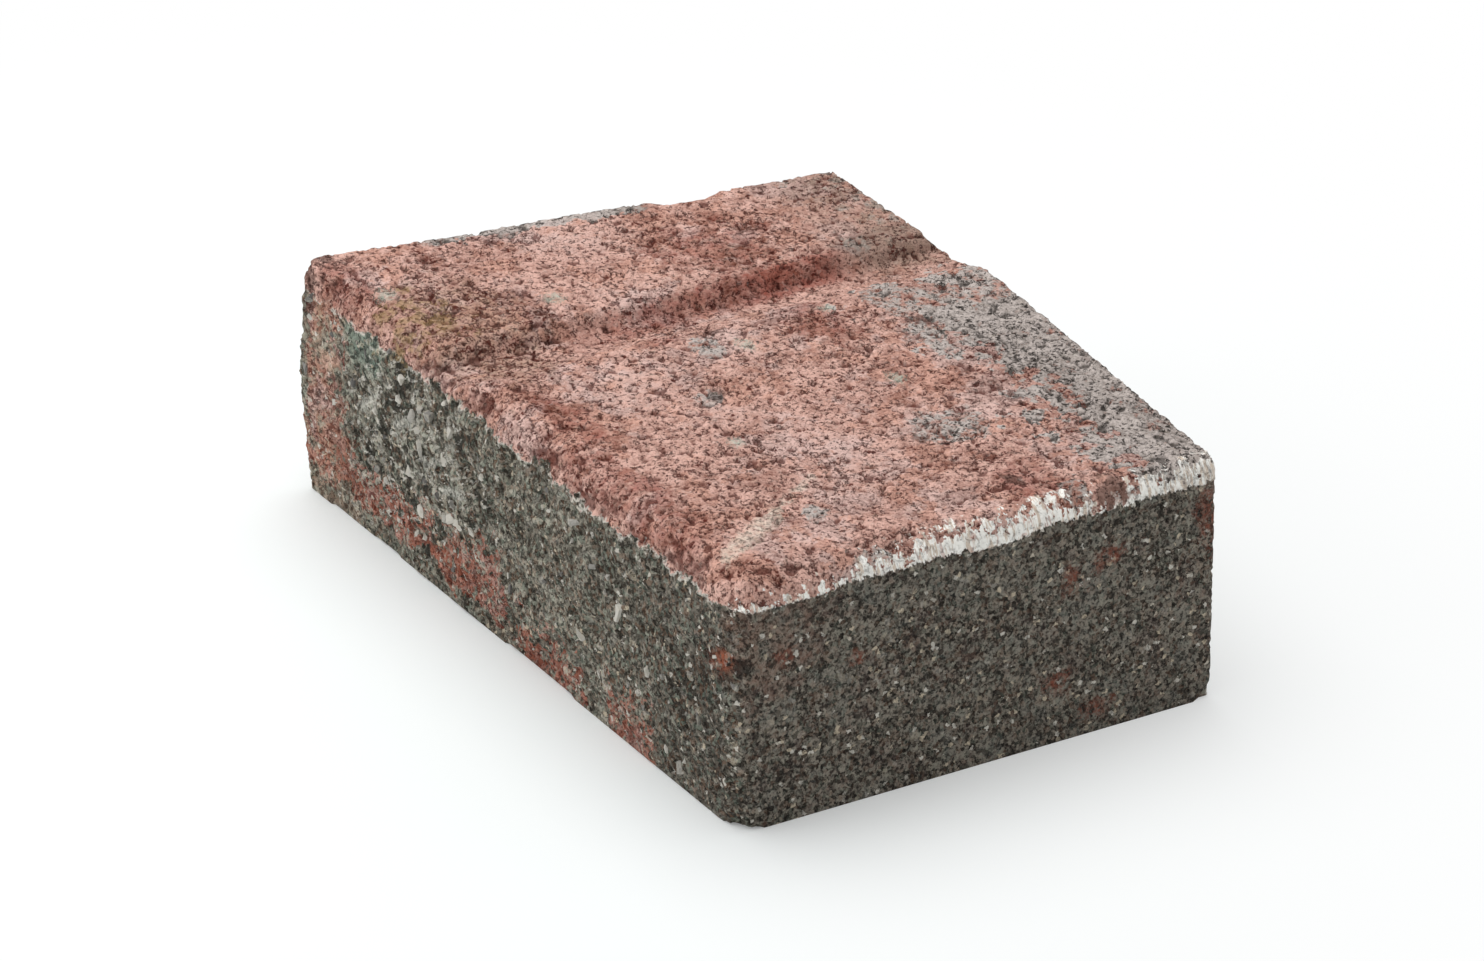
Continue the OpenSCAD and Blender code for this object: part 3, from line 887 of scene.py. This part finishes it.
def stone_tree():
    """Geometry Nodes that set crushed stones into the split faces, over half of each in the concrete."""
    g, value = new_tree("Laid-open stones", {"Smallest": 0.9, "Largest": 6.6, "Spacing": 5.2, "Seed": 12})
    place = g.scaled(g.wire(g.node("GeometryNodeInputPosition")), MM)
    nx, ny = g.parts(g.wire(g.node("GeometryNodeInputNormal")))[:2]
    z = g.parts(place)[2]

    # Stones show on the two split faces, below the red layer, and gather in drifts.
    split = (-ny).most(-nx).above(0.6, 0.8)
    drift = g.noise(place, 24, 2, 0.5).above(0.42, 0.62)
    rich = g.spot(place, (-75, LONG_FACE + 5.0, 48), (68, 40, 52))
    density = split * z.below(78, 86) * z.above(3, 7) * (0.08 + 0.4 * drift + 0.52 * rich)
    scattered = g.node(
        "GeometryNodeDistributePointsOnFaces", {"distribute_method": "POISSON"},
        {"Mesh": value["Geometry"], "Distance Min": value["Spacing"] * (1 / MM), "Density Max": MOST_STONES,
         "Density Factor": density, "Seed": value["Seed"]},
    )
    # A blocky crushed stone of 48 triangles, 1 across, which each place scales.
    cube = g.node("GeometryNodeMeshCube", inputs={
        "Size": (1, 1, 1), "Vertices X": 3, "Vertices Y": 3, "Vertices Z": 3})
    at = g.wire(g.node("GeometryNodeInputPosition"))
    round_off = g.vector("SUBTRACT", g.scaled(g.vector("NORMALIZE", at), 0.55), at)
    rounded = g.node("GeometryNodeSetPosition", inputs={
        "Geometry": g.wire(cube, "Mesh"), "Offset": g.scaled(round_off, 0.45)})

    def random(kind, low, high, salt):
        """A number or a vector that differs from stone to stone."""
        low_in, high_in, out = (2, 3, 1) if kind == "FLOAT" else (0, 1, 0)
        made = g.node("FunctionNodeRandomValue", {"data_type": kind}, {
            low_in: low, high_in: high, "Seed": value["Seed"] + salt})
        return g.wire(made, out)

    luck = random("FLOAT", 0, 1, 3)
    width = (value["Smallest"] + (value["Largest"] - value["Smallest"]) * luck * luck * luck) * (1 / MM)
    form = g.vector("MULTIPLY", random("FLOAT_VECTOR", (0.8, 0.45, 0.4), (1.35, 0.85, 0.7), 5),
                    g.joined(width, width, width))
    sunk = g.node("GeometryNodeSetPosition", inputs={
        "Geometry": g.wire(scattered, "Points"),
        "Offset": g.scaled(g.wire(scattered, "Normal"), width * -0.16)})
    set_in = g.node("GeometryNodeInstanceOnPoints", inputs={
        "Points": g.wire(sunk), "Instance": g.wire(rounded),
        "Rotation": random("FLOAT_VECTOR", (0, 0, 0), (6.28, 6.28, 6.28), 9), "Scale": form})
    shaded = g.node(
        "GeometryNodeStoreNamedAttribute", {"data_type": "FLOAT", "domain": "INSTANCE"},
        {"Geometry": g.wire(set_in), "Name": "shade", "Value": random("FLOAT", 0, 1, 14)})
    real = g.node("GeometryNodeRealizeInstances", inputs={"Geometry": g.wire(shaded)})
    # No two stones keep the same outline.
    knock = g.scaled(g.noise_vector(place, 2), 0.0017)
    chipped = g.node("GeometryNodeSetPosition", inputs={"Geometry": g.wire(real), "Offset": knock})
    return dress(g, g.wire(chipped), value["Finish"])


class WALLBLOCK_OT_stones(Operator):
    """Set the stones that the splitter laid open into the two split faces"""

    bl_idname = "wall_block.make_stones"
    bl_label = "Laid-open Stones"
    bl_options = {"REGISTER", "UNDO"}

    def execute(self, context):
        scene = context.scene
        sizes = scene.block_stones
        body = bpy.data.objects.get(BODY_NAME)
        if body is None:
            raise RuntimeError("make the block body first")
        stones = fresh_object(STONES_NAME, body.data.copy())
        scatter = stones.modifiers.new("Stones", "NODES")
        scatter.node_group = stone_tree()
        set_inputs(
            scatter, sizes, ("smallest", "largest", "spacing"),
            seed=sizes.seed, finish=stone_finish(scene.block_colours))
        settle(stones)
        if not stones.data.polygons:
            raise RuntimeError("no stones were laid open")
        keep_inside(stones.data)
        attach(stones, BODY)
        return {"FINISHED"}


def keep_inside(mesh):
    """Brings any point that lies outside the CAD box back onto it."""
    for vertex in mesh.vertices:
        vertex.co = [min(max(c, low), high) for c, low, high in zip(vertex.co, CAD_LOW, CAD_HIGH)]


class WALLBLOCK_OT_studio(Operator):
    """Make the pale floor, the soft lamps and the camera"""

    bl_idname = "wall_block.make_studio"
    bl_label = "Studio"
    bl_options = {"REGISTER", "UNDO"}

    def execute(self, context):
        scene = context.scene
        studio = scene.studio_settings

        mesh = bpy.data.meshes.new("floor")
        grid = bmesh.new()
        bmesh.ops.create_grid(grid, x_segments=FLOOR_PARTS, y_segments=FLOOR_PARTS, size=FLOOR_HALF)
        grid.to_mesh(mesh)
        grid.free()
        floor = fresh_object("floor", mesh)
        floor.data.materials.append(floor_finish(studio))

        world = bpy.data.worlds.new("Studio")
        scene.world = world
        world.use_nodes = True
        world.node_tree.nodes.clear()
        g = Graph(world.node_tree)
        strength = g.number_mix(g.where_seen(), studio.room_light, 1.0)
        background = g.node("ShaderNodeBackground", inputs={"Color": WHITE, "Strength": strength})
        g.tree.links.new(background.outputs[0], g.node("ShaderNodeOutputWorld").inputs[0])

        self.lamp("overhead_lamp", studio.lamp_power, place=(-0.5, -0.1, 1.6), aim=(0, 0, 0), width=2.0)
        self.lamp("side_lamp", studio.side_power, place=(-0.4, -1.9, 0.9), aim=(0, 0, 0.05), width=1.4)

        a, e = studio.camera_azimuth, studio.camera_elevation
        back = Vector((sin(a) * cos(e), -cos(a) * cos(e), sin(e)))
        data = bpy.data.cameras.new("camera")
        data.lens = studio.camera_lens
        data.sensor_width = SENSOR_WIDTH
        data.clip_end = CLIP_END
        camera = bpy.data.objects.new("camera", data)
        scene.collection.objects.link(camera)
        turn = (-back).to_track_quat("-Z", "Y").to_matrix() @ Matrix.Rotation(studio.camera_roll, 3, "Z")
        camera.matrix_world = Matrix.Translation(
            Vector(studio.camera_aim) + back * studio.camera_distance) @ turn.to_4x4()
        scene.camera = camera
        scene.view_settings.view_transform = "Standard"
        return {"FINISHED"}

    def lamp(self, name, power, place, aim, width):
        """A round, soft lamp of that width, turned to what it lights."""
        data = bpy.data.lights.new(name, "AREA")
        data.shape = "DISK"
        data.size = width
        data.energy = power
        lamp = bpy.data.objects.new(name, data)
        bpy.context.scene.collection.objects.link(lamp)
        lamp.location = place
        lamp.rotation_euler = (Vector(aim) - Vector(place)).to_track_quat("-Z", "Y").to_euler()


def floor_finish(studio):
    """Pale floor that keeps the block's shadow near it and fades to white further off; its white glow is
    painted light, which lightens that shadow and is set off-centre so the floor is painted lighter to the
    right.
    """
    material, g = new_material("Pale floor")
    away = g.measure("DISTANCE", object_place(g), FADE_MIDDLE)
    matt = g.node("ShaderNodeBsdfDiffuse", inputs={"Color": seen(studio.floor_colour)})
    white = g.node("ShaderNodeEmission", inputs={"Color": WHITE, "Strength": 1.0})
    whiteness = g.number_mix(away.above(FADE_START, FADE_END), NEAR_WHITE, 1.0)
    shade_surface(g, g.node("ShaderNodeMixShader", inputs={
        0: g.where_seen() * whiteness, 1: g.wire(matt), 2: g.wire(white)}))
    return material


class WALLBLOCK_PT_sidebar(Panel):
    """Sizes, colours and makers of the wall block"""

    bl_idname = "WALLBLOCK_PT_sidebar"
    bl_label = "Wall Block"
    bl_space_type = "VIEW_3D"
    bl_region_type = "UI"
    bl_category = "Wall Block"

    def draw(self, context):
        for kind in MAKERS:
            self.layout.operator(kind.bl_idname)
        for name, group in SETTINGS.items():
            box = self.layout.box()
            box.label(text=group.__doc__.rstrip("."))
            for prop in group.__annotations__:
                box.prop(getattr(context.scene, name), prop)


SETTINGS = {
    "block_surface": BlockSurface,
    "block_stones": BlockStones,
    "block_colours": BlockColours,
    "studio_settings": StudioSettings,
}
MAKERS = (WALLBLOCK_OT_body, WALLBLOCK_OT_stones, WALLBLOCK_OT_studio)


def register():
    for kind in (*SETTINGS.values(), *MAKERS, WALLBLOCK_PT_sidebar):
        bpy.utils.register_class(kind)
    for name, group in SETTINGS.items():
        setattr(bpy.types.Scene, name, PointerProperty(type=group))


def unregister():
    for name in SETTINGS:
        delattr(bpy.types.Scene, name)
    for kind in (WALLBLOCK_PT_sidebar, *reversed(MAKERS), *reversed(SETTINGS.values())):
        bpy.utils.unregister_class(kind)


def main():
    register()
    bpy.ops.wall_block.make_body()
    bpy.ops.wall_block.make_stones()
    bpy.ops.wall_block.make_studio()


if __name__ == "__main__":
    main()
